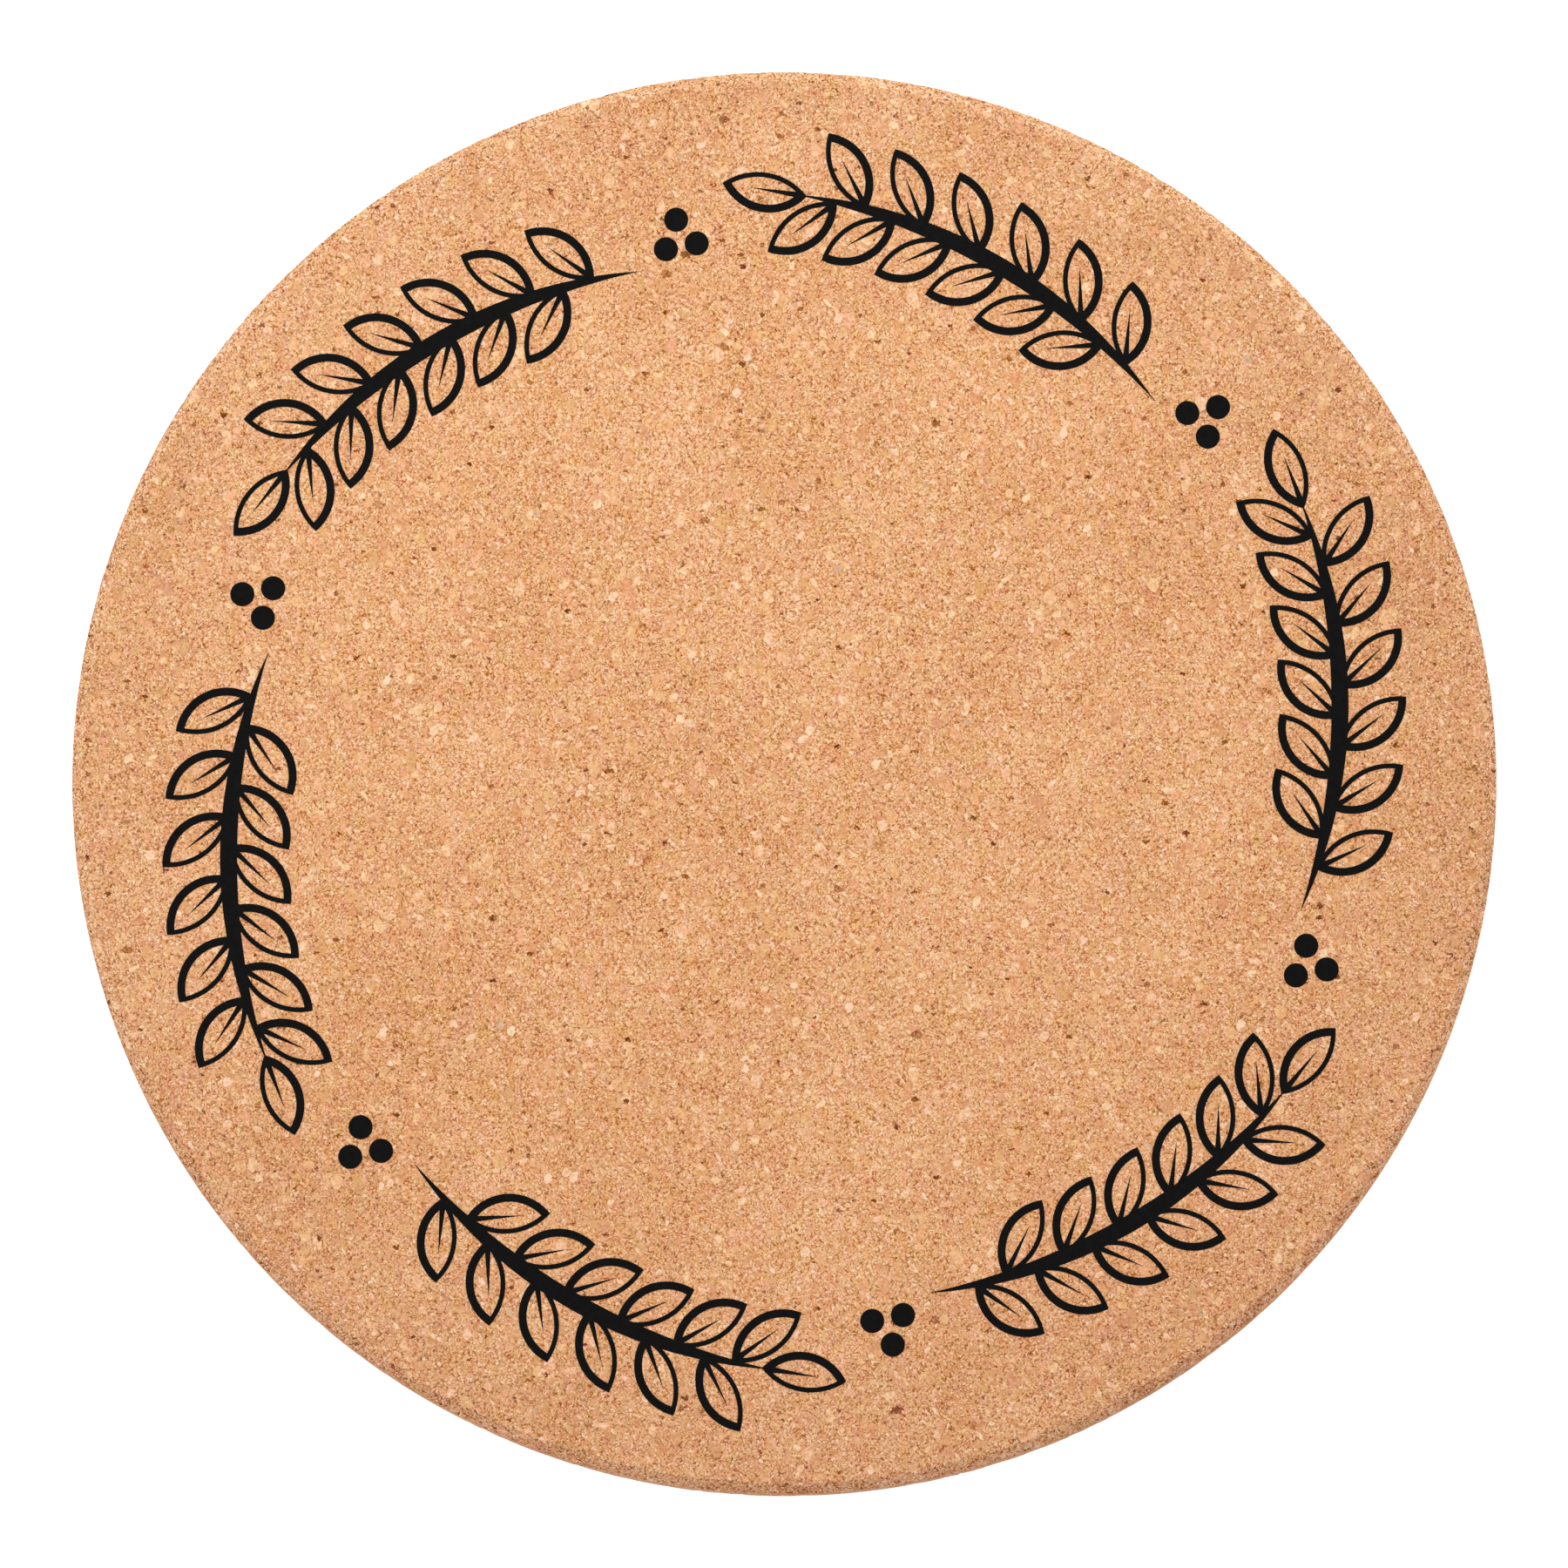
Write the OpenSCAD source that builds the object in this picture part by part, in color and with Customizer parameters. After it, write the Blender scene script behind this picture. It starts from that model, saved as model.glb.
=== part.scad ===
// Round cork coaster with a laurel wreath printed into its top face.
// Millimetres, +Z up, origin at the middle of the underside.

/* [Disc] */
// Diameter of the cork disc
disc_d = 100; // [80:1:200]
// Thickness of the cork disc
disc_t = 5; // [3:0.5:12]
// Width and height of the sanded bevel round both rims
bevel = 0.7; // [0.3:0.1:1.2]

/* [Print] */
// Depth that the ink soaks into the cork
ink_depth = 0.12; // [0.05:0.01:0.3]
// Gap between the ink and the side of its pocket
ink_clear = 0.05; // [0.02:0.01:0.08]
// Number of leafy sprigs in the ring
sprigs = 6; // [4:1:8]
// Distance from the side of the disc in to the ring of stems
wreath_inset = 11; // [8:0.2:14]

/* [Stem] */
// Width of a stem at its middle, from where it tapers to both ends
stem_w = 1.2; // [0.6:0.05:1.4]
// How much further out a stem's tip lies than its foot
stem_drift = 4; // [0:0.2:5]
// Bare length of stem below the first leaf
foot_l = 3.2; // [1:0.2:5]

/* [Leaf] */
// Length of a leaf from base to point
leaf_l = 6; // [4:0.2:7]
// Width of a leaf
leaf_w = 2.8; // [1.8:0.1:3.2]
// How far the middle of a leaf bows back from its chord
leaf_bow = 0.2; // [0:0.05:0.5]
// Angle between a leaf and the stem
leaf_angle = 48; // [30:1:60]
// Least gap between neighbouring leaves
leaf_gap = 0.2; // [0.2:0.05:1]
// Width of the heavy line along a leaf's back edge
heavy_line = 0.56; // [0.3:0.02:0.7]
// Width of the fine line along a leaf's front edge
fine_line = 0.34; // [0.2:0.02:0.5]
// Length of a leaf's middle vein
vein_l = 4; // [2:0.1:4.6]
// Width of the vein at a leaf's base
vein_w = 0.5; // [0.3:0.02:0.7]
// How far the last leaf reaches back over the stem's tip
tip_lap = 0.7; // [0.5:0.1:1]

/* [Berries] */
// Diameter of a berry
berry_d = 1.7; // [0.8:0.1:2]
// Gap between the berries of a cluster
berry_gap = 0.5; // [0.3:0.1:1]
// Clear space between a cluster and the sprigs beside it
berry_clear = 0.8; // [0.5:0.1:2]
// Number of berries in a cluster
berries = 3; // [3:1:5]

/* [Hidden] */
$fn = 96;
// A cut runs this far past the face that it opens.
cut_over = 1;

wreath_r = disc_d / 2 - wreath_inset;
cluster_r = (berry_d + berry_gap) / (2 * sin(180 / berries));
cluster_w = 2 * cluster_r + berry_d;

// One sprig and one cluster share each stretch of the ring.
stretch_l = 2 * PI * wreath_r / sprigs;
stem_l = stretch_l - cluster_w - 2 * berry_clear - leaf_l + tip_lap;
stem_turn = stem_l / wreath_r * 180 / PI;
stem_chord = 2 * wreath_r * sin(stem_turn / 2);
stem_rise = wreath_r - wreath_r * cos(stem_turn / 2);
// The stem's circle sits off the disc's centre, which gives the stem its drift.
stem_shift = stem_drift / (2 * sin(stem_turn / 2));

// Neighbouring leaves lie the gap apart across their width, also inside the ring, where they close up.
inner_r = wreath_r - leaf_l / 2 * sin(leaf_angle);
leaf_pitch = (leaf_w + leaf_gap) / sin(leaf_angle) * wreath_r / inner_r;
leaf_pairs = floor((stem_l - foot_l - tip_lap) / leaf_pitch);
leaf_step = (stem_l - foot_l - tip_lap) / leaf_pairs;

sprig_names = [for (i = [1:sprigs]) str("printed_sprig_", i)];

// Radius of the arc that bows by the given rise over a chord
function arc_r(chord, rise) = (chord * chord / 4 + rise * rise) / (2 * rise);

// Pointed oval between two arcs over the chord from the origin along X.
// The arcs bow by back and front, and each is drawn in by its inset.
module pointed_oval(chord, back, front, back_inset, front_inset) {
    intersection() {
        translate([chord / 2, back - arc_r(chord, back)])
            circle(r = arc_r(chord, back) - back_inset);
        translate([chord / 2, arc_r(chord, front) - front])
            circle(r = arc_r(chord, front) - front_inset);
    }
}

// Outlined leaf along X, base at the origin, with its middle vein. Every line is grown to both sides.
module leaf(grow) {
    back = leaf_w / 2 + leaf_bow;
    front = leaf_w / 2 - leaf_bow;
    vein_base = vein_w / 2 + grow;
    vein_tip = vein_l * vein_base / (vein_w / 2);
    difference() {
        pointed_oval(leaf_l, back, front, -grow, -grow);
        difference() {
            pointed_oval(leaf_l, back, front, heavy_line + grow, fine_line + grow);
            polygon([[0, -vein_base], [vein_tip, 0], [0, vein_base]]);
        }
    }
}

// Circle through both ends of the stem that rises by the given height over its chord
module stem_edge(rise) {
    radius = arc_r(stem_chord, rise);
    translate([wreath_r - stem_rise + rise - radius, stem_shift])
        circle(r = radius);
}

// Stem pointed at both ends: the crescent between two such circles
module stem(grow) {
    difference() {
        stem_edge(stem_rise + stem_w / 2 + grow);
        stem_edge(stem_rise - stem_w / 2 - grow);
    }
}

// Angle that the stem has turned through on its own circle, a distance from its foot
function turn_at(distance) = stem_turn * (distance / stem_l - 0.5);

// Point on the stem's middle line
function stem_point(distance) =
    [wreath_r * cos(turn_at(distance)), wreath_r * sin(turn_at(distance)) + stem_shift];

// Angle of a point round the disc
function bearing(point) = atan2(point.y, point.x);

// Places its children on the stem's middle line, with X towards the tip
module on_stem(distance) {
    translate(stem_point(distance))
        rotate(turn_at(distance) + 90)
            children();
}

// One leafy sprig, running anticlockwise across the X axis
module sprig_outline(grow = 0) {
    stem(grow);
    on_stem(stem_l - tip_lap)
        leaf(grow);
    for (i = [0:leaf_pairs - 1]) {
        on_stem(foot_l + i * leaf_step)
            mirror([0, 1])
                rotate(leaf_angle)
                    leaf(grow);
        on_stem(foot_l + (i + 0.5) * leaf_step)
            rotate(leaf_angle)
                leaf(grow);
    }
}

// Turns its children to the place of one stretch of the ring
module at_stretch(i) {
    rotate(i * 360 / sprigs)
        children();
}

// Cluster of berries halfway from one sprig's last leaf to the next one's foot
module cluster_outline(grow = 0) {
    last = stem_l - tip_lap;
    last_point = stem_point(last) + leaf_l * [-sin(turn_at(last)), cos(turn_at(last))];
    next_foot = bearing(stem_point(0)) + 360 / sprigs;
    rotate((bearing(last_point) + next_foot) / 2)
        translate([wreath_r, 0])
            for (i = [0:berries - 1])
                rotate(i * 360 / berries)
                    translate([cluster_r, 0])
                        circle(d = berry_d + 2 * grow);
}

// Ink down from the top face, or the pocket for it where it runs past the face
module ink(past = 0) {
    translate([0, 0, disc_t - ink_depth])
        linear_extrude(ink_depth + past)
            children();
}

module cork_disc() {
    r = disc_d / 2;
    color("#e3a979")
        difference() {
            rotate_extrude()
                polygon([
                    [0, 0], [r - bevel, 0], [r, bevel],
                    [r, disc_t - bevel], [r - bevel, disc_t], [0, disc_t]
                ]);
            for (i = [1:sprigs])
                ink(cut_over) {
                    at_stretch(i) sprig_outline(ink_clear);
                    at_stretch(i) cluster_outline(ink_clear);
                }
        }
}

module printed_sprig(i) {
    color("#191613")
        ink()
            at_stretch(i) sprig_outline();
}

module printed_berries() {
    color("#191613")
        ink()
            for (i = [1:sprigs])
                at_stretch(i) cluster_outline();
}

cork_disc();
for (i = [1:sprigs])
    printed_sprig(i);
printed_berries();
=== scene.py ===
"""Looks of a round cork coaster with a leaf wreath printed into its top face.

The cork is a turned mesh with the relief of a sanded face.
The printed patches keep their solids and get an ink finish.
Blender's lengths are metres. Named sizes are millimetres, unless their comment says otherwise.
"""

import math
from functools import partial

import bpy
import numpy as np
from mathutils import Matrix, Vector


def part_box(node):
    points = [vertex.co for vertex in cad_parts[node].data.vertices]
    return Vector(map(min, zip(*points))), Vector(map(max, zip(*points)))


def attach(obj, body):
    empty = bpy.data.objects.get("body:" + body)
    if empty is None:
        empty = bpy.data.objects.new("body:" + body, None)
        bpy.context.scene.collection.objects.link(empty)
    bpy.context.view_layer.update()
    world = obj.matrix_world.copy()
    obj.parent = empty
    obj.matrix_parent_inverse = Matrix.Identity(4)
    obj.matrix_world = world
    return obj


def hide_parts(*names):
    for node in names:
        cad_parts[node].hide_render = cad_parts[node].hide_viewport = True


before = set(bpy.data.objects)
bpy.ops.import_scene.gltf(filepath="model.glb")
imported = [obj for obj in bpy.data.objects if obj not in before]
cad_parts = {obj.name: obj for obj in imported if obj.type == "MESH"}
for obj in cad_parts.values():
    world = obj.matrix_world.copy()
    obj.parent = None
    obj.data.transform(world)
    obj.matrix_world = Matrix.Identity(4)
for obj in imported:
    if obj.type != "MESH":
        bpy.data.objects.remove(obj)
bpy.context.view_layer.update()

MM = 0.001
rng = np.random.default_rng(20)


# Sizes of the solids

# Points this close to the top's height lie on it.
SAME_HEIGHT = 0.001


def node_points(name):
    """The corners of a CAD node's mesh, in millimetres."""
    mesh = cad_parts[name].data
    points = np.empty(len(mesh.vertices) * 3, np.float32)
    mesh.vertices.foreach_get("co", points)
    return points.reshape(-1, 3) / MM


cork_low, cork_high = (Vector(corner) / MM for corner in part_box("cork_disc"))
# The nearest side of the solid's box, so that the cork stays inside it.
DISC_R = min(-cork_low.x, -cork_low.y, cork_high.x, cork_high.y)
DISC_T = cork_high.z
# The flat face ends where the bevel starts.
cork_points = node_points("cork_disc")
on_top = cork_points[:, 2] > DISC_T - SAME_HEIGHT
FACE_R = float(np.hypot(*cork_points[on_top, :2].T).max())
BEVEL = DISC_R - FACE_R


# Small helpers

def linear(hex_colour):
    """An sRGB hex colour as linear red, green, blue and alpha."""
    values = [int(hex_colour[i:i + 2], 16) / 255 for i in (1, 3, 5)]
    return [v / 12.92 if v <= 0.04045 else ((v + 0.055) / 1.055) ** 2.4 for v in values] + [1.0]


def add(tree, kind, inputs=(), **settings):
    """Adds a node with its settings and gives its outputs.

    An input, given by its place or its name, is a constant or the output of another node.
    """
    made = tree.nodes.new(kind)
    for name, value in settings.items():
        setattr(made, name, value)
    by_name = inputs if isinstance(inputs, dict) else dict(enumerate(inputs))
    for socket, value in by_name.items():
        if isinstance(value, bpy.types.NodeSocket):
            tree.links.new(value, made.inputs[socket])
        else:
            made.inputs[socket].default_value = value
    return made.outputs


def link_object(name, data):
    made = bpy.data.objects.new(name, data)
    bpy.context.scene.collection.objects.link(made)
    return made


# Structure of the cork: the relief and the colours both read it

# Marks on the points of the mesh: place in millimetres, closeness to a rim, and the cut bevels and wall.
PLACE = "cork_place"
EDGE = "cork_edge"
CUT = "cork_cut"

# Ground granules: length, width, turn in radians, share of the cork that they fill, and range of tones.
CHIPS = (
    (0.62, 0.46, 0.4, 0.09, 0.72, 0.95),
    (1.40, 0.42, 2.7, 0.03, 0.73, 0.97),
    (1.05, 0.72, 1.5, 0.045, 0.72, 0.92),
    (0.80, 0.52, 2.1, 0.035, 0.79, 1.00),
    (0.70, 0.26, 0.9, 0.06, 0.75, 0.98),
)
# Each kind is turned about a slanted axis, so that no face of the disc cuts its granules in rows.
CHIP_AXIS = (0.25, 0.1, 1)
# Where a granule ends and where the dark seam beside it ends, from outside in, as shares of its size.
CHIP_END = (0.62, 0.55)
SEAM_END = (0.76, 0.64)
# A power above 1 leaves few granules of a kind at its palest tone.
CHIP_PALENESS = 1.6
# The fibres share one direction over about this length.
GRANULE = 1.1
# How far the outline of a granule strays from a plain facet, and over what length.
WANDER = 0.05
WANDER_LENGTH = 0.4
# Noise stays within about this much of its middle value, 0.5.
NOISE_SPREAD = 0.25

# Bark specks: spacing, reach, squeeze along each axis, and how far and over what length they are ragged.
BARK_SPACING = 1.08
BARK_REACH = 0.23
BARK_SQUEEZE = (0.8, 1.25, 1.0)
BARK_RAGGED = 0.36
BARK_RAGGED_LENGTH = 0.18
# One place in five has no speck, and one in a hundred has a large one, which is paler.
NO_BARK = 0.20
LARGE_BARK = 0.990
LARGE_BARK_PALER = 0.3
# How much further a large speck reaches, and the soft edge of any speck, as shares of the spacing.
LARGE_BARK_REACH = 0.12
BARK_EDGE = 0.04


def cork_structure(tree, place):
    """Ground granules and bark specks at a place in millimetres, and that place turned with the fibres."""
    node = partial(add, tree)
    wander = node("ShaderNodeTexNoise", {
        "Vector": place, "Scale": 1 / WANDER_LENGTH, "Detail": 1.0,
    })["Color"]
    wander = node("ShaderNodeVectorMath", (wander, (0.5, 0.5, 0.5)), operation="SUBTRACT")[0]
    wander = node("ShaderNodeVectorMath", {0: wander, "Scale": WANDER / NOISE_SPREAD}, operation="SCALE")[0]
    wandered = node("ShaderNodeVectorMath", (place, wander), operation="ADD")[0]

    granule = node("ShaderNodeTexVoronoi", {"Vector": wandered, "Scale": 1 / GRANULE}, feature="F1")
    granule = node("ShaderNodeSeparateXYZ", (granule["Color"],))
    angle = node("ShaderNodeMath", (granule[0], 2 * math.pi), operation="MULTIPLY")[0]
    lying = node("ShaderNodeVectorRotate", {"Vector": wandered, "Axis": (0, 0, 1), "Angle": angle})[0]

    chips = []
    for length, width, turn, share, dark, pale in CHIPS:
        turned = node("ShaderNodeVectorRotate", {"Vector": wandered, "Axis": CHIP_AXIS, "Angle": turn})[0]
        squeeze = (1 / length, 1 / width, 1 / width)
        squeezed = node("ShaderNodeVectorMath", (turned, squeeze), operation="MULTIPLY")[0]
        cells = node("ShaderNodeTexVoronoi", {"Vector": squeezed, "Scale": 1.0}, feature="F1")
        luck = node("ShaderNodeSeparateXYZ", (cells["Color"],))
        chosen = node("ShaderNodeMath", (luck[0], share), operation="LESS_THAN")[0]
        inside = node("ShaderNodeMapRange", (cells["Distance"], *CHIP_END, 0.0, 1.0))[0]
        beside = node("ShaderNodeMapRange", (cells["Distance"], *SEAM_END, 0.0, 1.0))[0]
        paleness = node("ShaderNodeMath", (luck[1], CHIP_PALENESS), operation="POWER")[0]
        chips.append({
            "mask": node("ShaderNodeMath", (chosen, inside), operation="MULTIPLY")[0],
            "seam": node("ShaderNodeMath", (chosen, beside), operation="MULTIPLY")[0],
            "tone": node("ShaderNodeMapRange", (paleness, 0.0, 1.0, dark, pale))[0],
            "luck": luck[2],
        })

    ragged = node("ShaderNodeTexNoise", {
        "Vector": place, "Scale": 1 / BARK_RAGGED_LENGTH, "Detail": 0.0,
    })["Color"]
    strayed = node("ShaderNodeVectorMath", (ragged, [BARK_RAGGED] * 3, place), operation="MULTIPLY_ADD")[0]
    squeezed = node("ShaderNodeVectorMath", (strayed, BARK_SQUEEZE), operation="MULTIPLY")[0]
    cells = node("ShaderNodeTexVoronoi", {"Vector": squeezed, "Scale": 1 / BARK_SPACING}, feature="F1")
    luck = node("ShaderNodeSeparateXYZ", (cells["Color"],))
    reach = node("ShaderNodeMapRange", (luck[0], NO_BARK, 1.0, 0.0, BARK_REACH / BARK_SPACING))[0]
    large = node("ShaderNodeMath", (luck[0], LARGE_BARK), operation="GREATER_THAN")[0]
    reach = node("ShaderNodeMath", (large, LARGE_BARK_REACH, reach), operation="MULTIPLY_ADD")[0]
    depth = node("ShaderNodeMath", (reach, cells["Distance"]), operation="SUBTRACT")[0]
    bark = {
        "mask": node("ShaderNodeMapRange", (depth, 0.0, BARK_EDGE, 0.0, 1.0))[0],
        "luck": node("ShaderNodeMath", (large, LARGE_BARK_PALER, luck[1]), operation="MULTIPLY_ADD")[0],
    }
    return chips, bark, granule, lying


# Cork disc: one turned mesh, from the middle of the top to the middle of the underside

# Rings of points from the middle to the rim of each face. The top, which the photo shows, has more.
TOP_RINGS = 140
UNDER_RINGS = 70
# The first ring round a middle has this many points, and each ring out from there has as many more.
RING_POINTS = 6
# Rows down the bevels and the wall, as shares of their length. The close ones keep the rims crisp.
BEVEL_ROWS = (0.1, 0.5, 0.9, 1.0)
WALL_ROWS = (0.025, 0.14, 0.26, 0.38, 0.5, 0.62, 0.74, 0.86, 0.975, 1.0)
# How far in from its rim the last ring on a flat face lies.
RIM_ROW = 0.08
# The sanded cork lies this far below the level of the ink.
FILM = 0.02
# How far a point on a flat face is nudged, so that the relief doesn't follow the rings.
NUDGE = 0.09
# How far a rim's crumbling reaches, and how far from it the nudged points stay.
RIM_REACH = 0.5

# Flat map for baking, 1 wide and 1 high: middle and half width of the two round faces,
# then left side, pitch, width, foot and length of the rim's four strips.
TOP_MIDDLE = 0.39
TOP_HALF = 0.385
UNDER_MIDDLE = 0.805
UNDER_HALF = 0.18
STRIP_LEFT = 0.80
STRIP_PITCH = 0.048
STRIP_WIDTH = 0.042
STRIP_FOOT = 0.01
STRIP_LENGTH = 0.58


def disc_rows():
    """Radius, height, count of points and face of each ring, from the top's middle to the underside's."""
    top = DISC_T - FILM
    around = RING_POINTS * TOP_RINGS
    rows = [(FACE_R * k / TOP_RINGS, top, max(1, RING_POINTS * k), "top") for k in range(TOP_RINGS)]
    rows += [(FACE_R - RIM_ROW, top, around, "top"), (FACE_R, top, around, "top")]
    corners = [(FACE_R, top), (DISC_R, DISC_T - BEVEL), (DISC_R, BEVEL), (FACE_R, 0.0)]
    shares = (BEVEL_ROWS, WALL_ROWS, BEVEL_ROWS)
    for (r0, z0), (r1, z1), steps in zip(corners, corners[1:], shares):
        rows += [(r0 + (r1 - r0) * share, z0 + (z1 - z0) * share, around, "side") for share in steps]
    rows.append((FACE_R - RIM_ROW, 0.0, around, "under"))
    for k in range(UNDER_RINGS - 1, -1, -1):
        rows.append((FACE_R * k / UNDER_RINGS, 0.0, max(1, RING_POINTS * k), "under"))
    return rows


def stitch(first, first_count, second, second_count):
    """Triangles between two rings of points, whatever their counts, walking round both at once."""
    faces = []
    first_gone = second_gone = 0
    first_steps = first_count if first_count > 1 else 0
    second_steps = second_count if second_count > 1 else 0
    while first_gone < first_steps or second_gone < second_steps:
        here = first + first_gone % first_count
        there = second + second_gone % second_count
        second_lags = (second_gone + 0.5) * first_steps <= (first_gone + 0.5) * second_steps
        if first_gone >= first_steps or (second_gone < second_steps and second_lags):
            second_gone += 1
            faces.append((here, there, second + second_gone % second_count))
        else:
            first_gone += 1
            faces.append((here, there, first + first_gone % first_count))
    return faces


def bake_place(points, corners, side):
    """Where each face corner lies on the flat map.

    The top is a large disc, the underside a small one, and the rim four strips beside them.
    """
    x, y, z = points[corners].T
    upper = side == "top"
    across = np.where(upper, TOP_MIDDLE + TOP_HALF * x / FACE_R, UNDER_MIDDLE - UNDER_HALF * x / FACE_R)
    up = np.where(upper, TOP_MIDDLE + TOP_HALF * y / FACE_R, UNDER_MIDDLE + UNDER_HALF * y / FACE_R)

    quarters = (np.arctan2(y, x) / (math.pi / 2) % 4).reshape(-1, 3)
    # A face that ends at the start of the round counts as part of the last quarter.
    wraps = (quarters.max(1) > 3) & (quarters.min(1) < 1)
    quarters = np.where(wraps[:, None] & (quarters < 1), quarters + 4, quarters)
    quarter = np.repeat(np.floor(quarters.mean(1)), 3)
    along = quarters.ravel() - quarter
    past_face = np.hypot(x, y) - FACE_R
    down = DISC_T - z + np.where(z > DISC_T / 2, past_face, 2 * BEVEL - past_face)
    down /= DISC_T + 2 * BEVEL
    on_rim = side == "side"
    across = np.where(on_rim, STRIP_LEFT + STRIP_PITCH * quarter + STRIP_WIDTH * down, across)
    up = np.where(on_rim, STRIP_FOOT + STRIP_LENGTH * along, up)
    return np.column_stack([across, up])


def make_cork_disc():
    rows = disc_rows()
    points = []
    faces = []
    sides = []
    start = 0
    for number, (radius, height, count, side) in enumerate(rows):
        turn = np.arange(count) * 2 * math.pi / count
        ring = np.column_stack([radius * np.cos(turn), radius * np.sin(turn), np.full(count, height)])
        points.append(ring)
        if number:
            before = rows[number - 1][2]
            made = stitch(start - before, before, start, count)
            faces += made
            sides += [side] * len(made)
        start += count
    points = np.concatenate(points)

    out = np.hypot(points[:, 0], points[:, 1])
    flat = out < FACE_R - RIM_REACH
    points[flat, :2] += rng.uniform(-NUDGE, NUDGE, (flat.sum(), 2))
    to_face = np.minimum(points[:, 2], DISC_T - points[:, 2])
    to_rim = np.minimum(np.hypot(out - FACE_R, to_face), np.hypot(out - DISC_R, to_face - BEVEL))

    mesh = bpy.data.meshes.new("cork_disc_turned")
    mesh.from_pydata(points * MM, [], faces)
    mesh.polygons.foreach_set("use_smooth", np.ones(len(mesh.polygons), bool))
    flat_map = bake_place(points, np.array(faces).ravel(), np.repeat(sides, 3))
    mesh.uv_layers.new(name="OFBake").data.foreach_set("uv", flat_map.astype(np.float32).ravel())
    for name, kind, field, values in (
        (PLACE, "FLOAT_VECTOR", "vector", points),
        (EDGE, "FLOAT", "value", np.clip(1 - to_rim / RIM_REACH, 0, 1)),
        (CUT, "FLOAT", "value", out > FACE_R - RIM_ROW / 2),
    ):
        marks = mesh.attributes.new(name, kind, "POINT")
        marks.data.foreach_set(field, values.astype(np.float32).ravel())
    mesh.update()
    return link_object("sanded_cork", mesh)


# How far bark, granules and crumbs of the rim lie outside the sanded faces: all are sunk, so below 0.
BARK_LEVEL = -0.09
CHIP_LEVEL = -0.03
CRUMB_LEVEL = -0.16
# The rim crumbles where a granule's luck is in this range, and more towards its end.
CRUMB_LUCK = (0.72, 0.95)


def add_relief(piece):
    """Sinks bark, granules and crumbs of the rim a little below the sanded faces, as real geometry."""
    tree = bpy.data.node_groups.new("sanded cork relief", "GeometryNodeTree")
    for way in ("INPUT", "OUTPUT"):
        tree.interface.new_socket("Geometry", in_out=way, socket_type="NodeSocketGeometry")
    node = partial(add, tree)
    turned = node("NodeGroupInput")[0]
    place = node("GeometryNodeInputNamedAttribute", {"Name": PLACE}, data_type="FLOAT_VECTOR")[0]
    edge = node("GeometryNodeInputNamedAttribute", {"Name": EDGE}, data_type="FLOAT")[0]
    chips, bark, _, _ = cork_structure(tree, place)
    level = node("ShaderNodeMath", (bark["mask"], BARK_LEVEL), operation="MULTIPLY")[0]
    for chip in chips:
        own_level = node("ShaderNodeMath", (chip["luck"], CHIP_LEVEL), operation="MULTIPLY")[0]
        level = node("ShaderNodeMath", (chip["mask"], own_level, level), operation="MULTIPLY_ADD")[0]
    crumb = node("ShaderNodeMapRange", (chips[0]["luck"], *CRUMB_LUCK, 0.0, CRUMB_LEVEL))[0]
    level = node("ShaderNodeMath", (crumb, edge, level), operation="MULTIPLY_ADD")[0]
    level = node("ShaderNodeMath", (level, MM), operation="MULTIPLY")[0]
    normal = node("GeometryNodeInputNormal")[0]
    offset = node("ShaderNodeVectorMath", {0: normal, "Scale": level}, operation="SCALE")[0]
    moved = node("GeometryNodeSetPosition", {"Geometry": turned, "Offset": offset})[0]
    node("NodeGroupOutput", (moved,))
    piece.modifiers.new("sanded relief", "NODES").node_group = tree


# Materials

def new_material(name):
    made = bpy.data.materials.new(name)
    made.use_nodes = True
    return made, made.node_tree, made.node_tree.nodes["Principled BSDF"]


# Cork's cells, about 0.04 mm across, are too fine to show, so the dust is drawn about twice as coarse.
DUST = 0.088
# Fibres of the dust: squeeze along each axis, which leaves them twice as long as wide, and their bend.
FIBRE_SQUEEZE = (0.5, 1.0, 1.0)
FIBRE_BEND = 0.6
# Grains of grit, the lengths over which the cork varies, and how far its clouds sway the grit.
GRIT = 0.168
CLOUD = 0.22
BLEND = 0.8
MOTTLE = 9.0
SWAY = 0.3
# Where a pore starts and is full, as shares of a grain.
PORE_END = (0.40, 0.85)

# Tones run from 0 for bark to 1 for the palest granule.
# What each part of the grain adds to the tone. The start brings their sum to about 0 on the whole.
GRAIN_START = -0.262
GRIT_TONE = 0.10
CRUMB_TONE = 0.16
DUST_TONE = 0.66
# Some pores are nearly closed, others open and dark.
PORE_TONES = (-0.04, -0.63)
# One grain in about thirty is a pale crumb.
PALE_CRUMB = 0.965
# The cork's own tone, and what its larger parts add to it.
CORK_TONE = 0.595
MOTTLE_TONE = 0.18
BLEND_TONE = 0.05
GRANULE_TONE = 0.03
SEAM_TONE = -0.07
# A granule shows less of the dust's grain than the dust does, and a soft gradient of its own.
CHIP_GRAIN = 0.3
CHIP_GRADIENT = 0.26
# One granule in eighty is grey.
GREY_LUCK = 0.9875
GREY_TONE = -0.06
GREY_SATURATION = -0.2
# The outer zone is a little darker and greyer, from this radius on.
OUTER_ZONE_FROM = 32.0
OUTER_ZONE_TONE = -0.04
OUTER_ZONE_SATURATION = -0.035
# The cut rim is rougher than the sanded faces; its grain is painted in stronger contrast, as painted shade
# and light of its crumbs.
CUT_GRAIN_SHADE = 0.35
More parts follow.
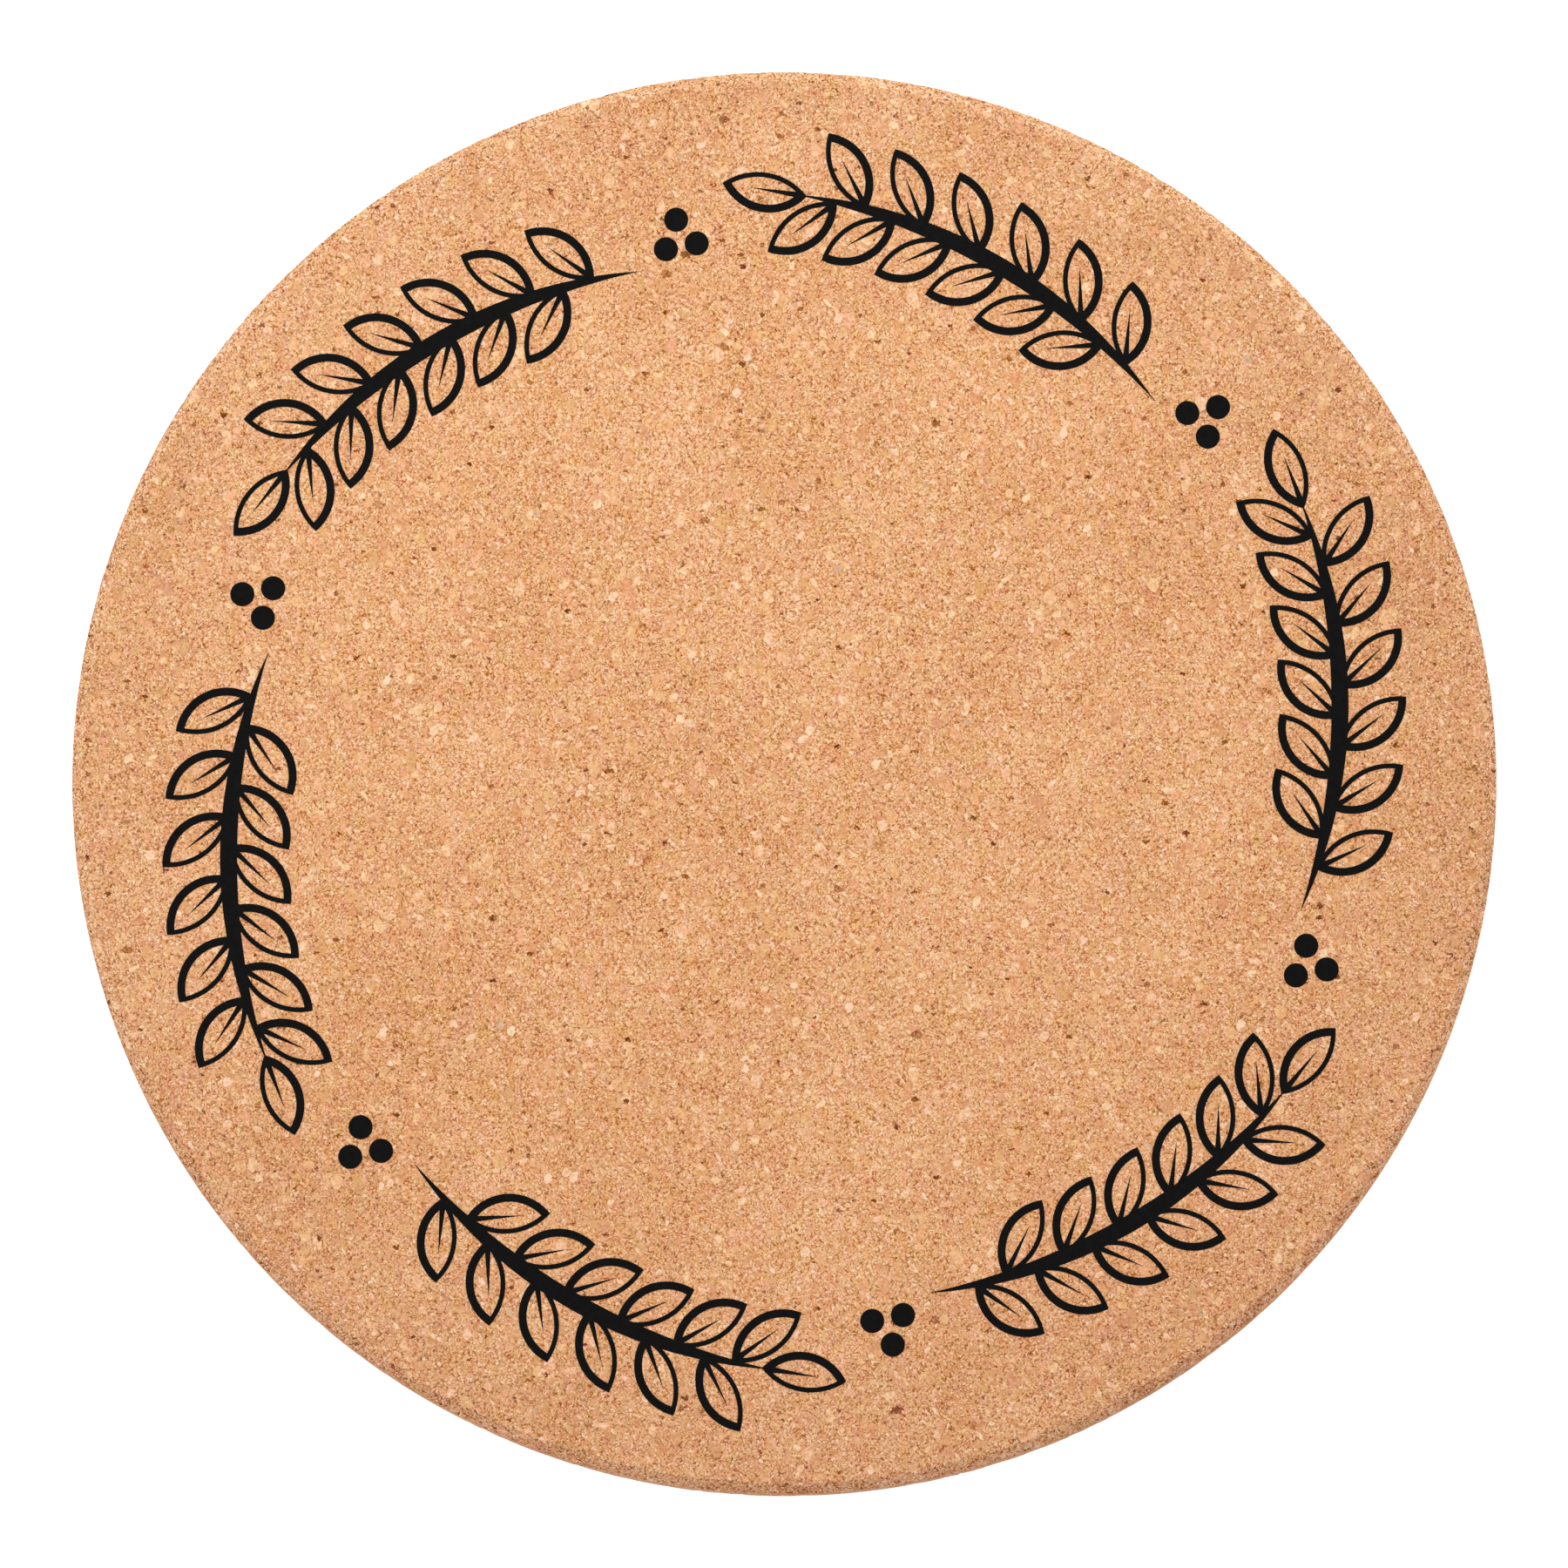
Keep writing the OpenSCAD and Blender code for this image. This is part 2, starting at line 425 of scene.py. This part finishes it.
# Darkest bark, how far its tones range from there, and how much of the grain it shows.
BARK_TONE = 0.05
BARK_RANGE = 0.45
BARK_GRAIN = 0.8
CORK_TONES = (
    (0.0, "#562807"), (0.22, "#80471e"), (0.365, "#935c30"), (0.48, "#a76d40"), (0.576, "#b47c4f"),
    (0.665, "#c08a5d"), (0.747, "#cb976b"), (0.83, "#d7a376"), (0.91, "#dfb086"), (1.0, "#e4c6a8"),
)
# Redder to yellower cork, where 0.5 leaves the hue as it is. The parts add up to a place in between.
HUES = (0.488, 0.508)
HUE_START = -0.5
GRANULE_HUE = 0.4
BLEND_HUE = 1.1
GRIT_HUE = 0.5
# Saturation over the range of the blend's noise.
BLEND_RANGE = (0.3, 0.7)
SATURATIONS = (1.06, 0.98)

# Heights of the fine relief that is left to the bump
PORE_HEIGHT = -0.03
BARK_HEIGHT = -0.06
DUST_HEIGHT = 0.04
BUMP_STRENGTH = 0.5
CORK_ROUGHNESS = 0.9
CORK_SPECULAR = 0.2


def cork_material():
    """Agglomerated cork, sanded: gritty dust between smooth granules in many tans, dark bark, all matt."""
    made, tree, shader = new_material("agglomerated_cork_sanded")
    node = partial(add, tree)
    place = node("ShaderNodeAttribute", attribute_name=PLACE)["Vector"]
    chips, bark, granule, lying = cork_structure(tree, place)

    # Dust pressed between the granules, with open pores where its grains meet
    cloud = node("ShaderNodeTexNoise", {"Vector": place, "Scale": 1 / CLOUD, "Detail": 0.0})
    swayed = node("ShaderNodeVectorMath", (cloud["Color"], [SWAY] * 3, place), operation="MULTIPLY_ADD")[0]
    grit = node("ShaderNodeTexVoronoi", {"Vector": swayed, "Scale": 1 / GRIT}, feature="F1")
    grit_luck = node("ShaderNodeSeparateXYZ", (grit["Color"],))
    pore = node("ShaderNodeMapRange", (grit["Distance"], *PORE_END, 0.0, 1.0))[0]
    pore_tone = node("ShaderNodeMapRange", (grit_luck[2], 0.0, 1.0, *PORE_TONES))[0]
    pale_crumb = node("ShaderNodeMath", (grit_luck[0], PALE_CRUMB), operation="GREATER_THAN")[0]
    fibre = node("ShaderNodeVectorMath", (lying, FIBRE_SQUEEZE), operation="MULTIPLY")[0]
    dust = node("ShaderNodeTexNoise", {
        "Vector": fibre, "Scale": 1 / DUST, "Detail": 0.0, "Distortion": FIBRE_BEND,
    })["Fac"]
    grain = GRAIN_START
    for part, weight in (
        (grit_luck[0], GRIT_TONE), (pale_crumb, CRUMB_TONE), (pore, pore_tone), (dust, DUST_TONE),
    ):
        grain = node("ShaderNodeMath", (part, weight, grain), operation="MULTIPLY_ADD")[0]

    # Slow changes of tone and hue
    mottle = node("ShaderNodeTexNoise", {"Vector": place, "Scale": 1 / MOTTLE, "Detail": 3.0})["Fac"]
    blend = node("ShaderNodeTexNoise", {"Vector": place, "Scale": 1 / BLEND, "Detail": 1.0})["Color"]
    blend = node("ShaderNodeSeparateXYZ", (blend,))
    tone = node("ShaderNodeMath", (grain, CORK_TONE), operation="ADD")[0]
    for part, weight in ((mottle, MOTTLE_TONE), (blend[0], BLEND_TONE), (granule[1], GRANULE_TONE)):
        tone = node("ShaderNodeMath", (part, weight, tone), operation="MULTIPLY_ADD")[0]
    hue = HUE_START
    for part, weight in ((granule[2], GRANULE_HUE), (blend[1], BLEND_HUE), (grit_luck[1], GRIT_HUE)):
        hue = node("ShaderNodeMath", (part, weight, hue), operation="MULTIPLY_ADD")[0]

    # Granules, the seams beside them, and the few grey ones.
    # A mix node's inputs go by place: 0 is the share, 2 and 3 are numbers, 6 and 7 are colours.
    inner = -CHIP_GRADIENT / 2
    for part, weight in ((cloud["Fac"], CHIP_GRADIENT), (grain, CHIP_GRAIN)):
        inner = node("ShaderNodeMath", (part, weight, inner), operation="MULTIPLY_ADD")[0]
    grey = 0.0
    for chip in chips:
        chip_tone = node("ShaderNodeMath", (chip["tone"], inner), operation="ADD")[0]
        tone = node("ShaderNodeMath", (chip["seam"], SEAM_TONE, tone), operation="MULTIPLY_ADD")[0]
        tone = node("ShaderNodeMix", {0: chip["mask"], 2: tone, 3: chip_tone}, data_type="FLOAT")[0]
        hue = node("ShaderNodeMix", {0: chip["mask"], 2: hue, 3: chip["luck"]}, data_type="FLOAT")[0]
        is_grey = node("ShaderNodeMath", (chip["luck"], GREY_LUCK), operation="GREATER_THAN")[0]
        grey = node("ShaderNodeMix", {0: chip["mask"], 2: grey, 3: is_grey}, data_type="FLOAT")[0]

    # Darker outer zone, cut rim with painted shade in its grain, and bark over all
    from_middle = node("ShaderNodeVectorMath", (place,), operation="LENGTH")["Value"]
    # Darker and greyer from this radius out to the rim.
    outer_zone = node("ShaderNodeMapRange", (from_middle, OUTER_ZONE_FROM, DISC_R, 0.0, 1.0))[0]
    cut = node("ShaderNodeAttribute", attribute_name=CUT)["Fac"]
    # Painted shade and light: the grain of the cut rim in stronger contrast.
    rim_grain_shade = node("ShaderNodeMath", (cut, grain), operation="MULTIPLY")[0]
    for part, weight in ((grey, GREY_TONE), (outer_zone, OUTER_ZONE_TONE), (rim_grain_shade, CUT_GRAIN_SHADE)):
        tone = node("ShaderNodeMath", (part, weight, tone), operation="MULTIPLY_ADD")[0]
    dark = BARK_TONE
    for part, weight in ((grain, BARK_GRAIN), (bark["luck"], BARK_RANGE)):
        dark = node("ShaderNodeMath", (part, weight, dark), operation="MULTIPLY_ADD")[0]
    tone = node("ShaderNodeMix", {0: bark["mask"], 2: tone, 3: dark}, data_type="FLOAT")[0]

    ramp = node("ShaderNodeValToRGB", (tone,))
    stops = ramp[0].node.color_ramp.elements
    while len(stops) < len(CORK_TONES):
        stops.new(1.0)
    for stop, (position, colour) in zip(stops, CORK_TONES):
        stop.position = position
        stop.color = linear(colour)
    hue = node("ShaderNodeMapRange", (hue, 0.0, 1.0, *HUES))[0]
    saturation = node("ShaderNodeMapRange", (blend[2], *BLEND_RANGE, *SATURATIONS))[0]
    for part, weight in ((grey, GREY_SATURATION), (outer_zone, OUTER_ZONE_SATURATION)):
        saturation = node("ShaderNodeMath", (part, weight, saturation), operation="MULTIPLY_ADD")[0]
    tint = node("ShaderNodeHueSaturation", {"Hue": hue, "Saturation": saturation, "Color": ramp[0]})[0]
    tree.links.new(tint, shader.inputs["Base Color"])

    height = 0.0
    for part, weight in ((pore, PORE_HEIGHT), (bark["mask"], BARK_HEIGHT), (dust, DUST_HEIGHT)):
        height = node("ShaderNodeMath", (part, weight, height), operation="MULTIPLY_ADD")[0]
    bump = node("ShaderNodeBump", {"Height": height, "Distance": MM, "Strength": BUMP_STRENGTH})[0]
    tree.links.new(bump, shader.inputs["Normal"])
    shader.inputs["Roughness"].default_value = CORK_ROUGHNESS
    shader.inputs["Specular IOR Level"].default_value = CORK_SPECULAR
    return made


# Ink: spacing and height of the cork's grain that shows through it, its blacks, and its finish
INK_GRAIN = 0.4
INK_HEIGHT = 0.02
INK_BLACKS = ("#070707", "#131313")
INK_ROUGHNESS = (0.6, 0.8)
INK_SPECULAR = 0.04


def ink_material():
    """Black ink, screen printed: flat near-black, with hardly a sheen because it sinks into open pores."""
    made, tree, shader = new_material("black_ink_screen_printed")
    node = partial(add, tree)
    place = node("ShaderNodeTexCoord")["Object"]
    grain = node("ShaderNodeTexNoise", {
        "Vector": place, "Scale": 1 / (INK_GRAIN * MM), "Detail": 2.0,
    })["Fac"]
    deep, worn = (linear(colour) for colour in INK_BLACKS)
    colour = node("ShaderNodeMix", {0: grain, 6: deep, 7: worn}, data_type="RGBA")[2]
    tree.links.new(colour, shader.inputs["Base Color"])
    rough = node("ShaderNodeMapRange", (grain, 0.0, 1.0, *INK_ROUGHNESS))[0]
    tree.links.new(rough, shader.inputs["Roughness"])
    bump = node("ShaderNodeBump", {
        "Height": grain, "Distance": INK_HEIGHT * MM, "Strength": BUMP_STRENGTH,
    })[0]
    tree.links.new(bump, shader.inputs["Normal"])
    shader.inputs["Specular IOR Level"].default_value = INK_SPECULAR
    return made


# Pieces: the turned cork stands for its solid, and the printed solids take the ink

cork = make_cork_disc()
add_relief(cork)
cork.data.materials.append(cork_material())
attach(cork, "root")
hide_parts("cork_disc")

ink = ink_material()
for name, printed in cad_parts.items():
    if name.startswith("printed_"):
        printed.data.materials.clear()
        printed.data.materials.append(ink)


# Floor, light and camera

# Radius of the floor in metres, and its corners
FLOOR_R = 3.0
FLOOR_SIDES = 96
# The floor reaches this far in under the disc and is open inside, so that the underside can be looked at.
FLOOR_LAP = 0.2
# It lies a hair below the cork, because two faces at one height would show through each other.
FLOOR_DROP = 0.02
FLOOR_GREY = "#8c8c8c"
FLOOR_GLOW = 0.9
FLOOR_ROUGHNESS = 0.9


def make_floor():
    turns = np.arange(FLOOR_SIDES) * 2 * math.pi / FLOOR_SIDES
    ring = np.column_stack([np.cos(turns), np.sin(turns), np.zeros(FLOOR_SIDES)])
    drop = (0, 0, -FLOOR_DROP * MM)
    points = np.concatenate([ring * (FACE_R - FLOOR_LAP) * MM + drop, ring * FLOOR_R + drop])
    ahead = (np.arange(FLOOR_SIDES) + 1) % FLOOR_SIDES
    faces = [(k, FLOOR_SIDES + k, FLOOR_SIDES + ahead[k], ahead[k]) for k in range(FLOOR_SIDES)]
    mesh = bpy.data.meshes.new("studio_floor")
    mesh.from_pydata(points, [], faces)
    floor = link_object("studio_floor", mesh)
    # The photo's white backdrop throws no light on the rim, so this floor doesn't either.
    floor.visible_diffuse = False
    # Opal acrylic, matt and lit from behind: white all over, with hardly a shadow.
    made, _, shader = new_material("opal_acrylic_lit_from_behind")
    shader.inputs["Base Color"].default_value = linear(FLOOR_GREY)
    shader.inputs["Roughness"].default_value = FLOOR_ROUGHNESS
    shader.inputs["Emission Color"].default_value = linear("#ffffff")
    shader.inputs["Emission Strength"].default_value = FLOOR_GLOW
    mesh.materials.append(made)


# The room's light is a shade warmer than the softboxes, so a rim turned away from them looks redder.
ROOM_LIGHT = 0.657
ROOM_COLOUR = "#ffebe7"
SOFTBOX_COLOUR = "#efffff"
# Name, azimuth and elevation in degrees, distance, width and height in metres, and watts.
SOFTBOXES = (
    ("key_softbox", 110, 44, 0.40, 0.28, 0.20, 1.434),
    ("fill_softbox", 226, 15, 0.60, 0.40, 0.24, 1.217),
    ("side_softbox", 15, 12, 0.60, 0.40, 0.20, 1.801),
)


def make_light():
    world = bpy.data.worlds.new("white studio")
    bpy.context.scene.world = world
    world.use_nodes = True
    background = world.node_tree.nodes["Background"]
    background.inputs["Color"].default_value = linear(ROOM_COLOUR)
    background.inputs["Strength"].default_value = ROOM_LIGHT

    for name, azimuth, elevation, distance, wide, high, watts in SOFTBOXES:
        lamp = bpy.data.lights.new(name, "AREA")
        lamp.shape = "RECTANGLE"
        lamp.size = wide
        lamp.size_y = high
        lamp.color = linear(SOFTBOX_COLOUR)[:3]
        lamp.energy = watts
        box = link_object(name, lamp)
        turn = math.radians(azimuth)
        rise = math.radians(elevation)
        level = distance * math.cos(rise)
        box.location = (level * math.cos(turn), level * math.sin(turn), distance * math.sin(rise))
        box.rotation_mode = "QUATERNION"
        box.rotation_quaternion = (-box.location).to_track_quat("-Z", "Y")


# The photo's frame in pixels: its side, and the width and middle of the disc in it
PHOTO_SIDE = 1800
DISC_WIDE_PX = 1634
DISC_MIDDLE_PX = (900.4, 899.9)
# A long lens, because the photo's view is nearly parallel.
LENS = 1000.0
SENSOR = 36.0
# The view leans this far from straight down, which shows a sliver of the near side of the wall.
LEAN = math.radians(3.5)
# Nearest and farthest that the camera sees, in metres
CLIP = (0.1, 10)


def make_camera():
    data = bpy.data.cameras.new("camera")
    data.lens = LENS
    data.sensor_width = SENSOR
    data.clip_start, data.clip_end = CLIP
    camera = link_object("camera", data)
    frame_width = 2 * DISC_R * PHOTO_SIDE / DISC_WIDE_PX * MM
    per_px = frame_width / PHOTO_SIDE
    back = Vector((0, -math.sin(LEAN), math.cos(LEAN)))
    up = Vector((0, math.cos(LEAN), math.sin(LEAN)))
    target = Vector((0, 0, DISC_T / 2 * MM))
    target += Vector((1, 0, 0)) * (PHOTO_SIDE / 2 - DISC_MIDDLE_PX[0]) * per_px
    target += up * (DISC_MIDDLE_PX[1] - PHOTO_SIDE / 2) * per_px
    camera.location = target + back * frame_width * LENS / SENSOR
    camera.rotation_mode = "QUATERNION"
    camera.rotation_quaternion = (-back).to_track_quat("-Z", "Y")
    bpy.context.scene.camera = camera


make_floor()
make_light()
make_camera()
bpy.context.scene.view_settings.view_transform = "Standard"
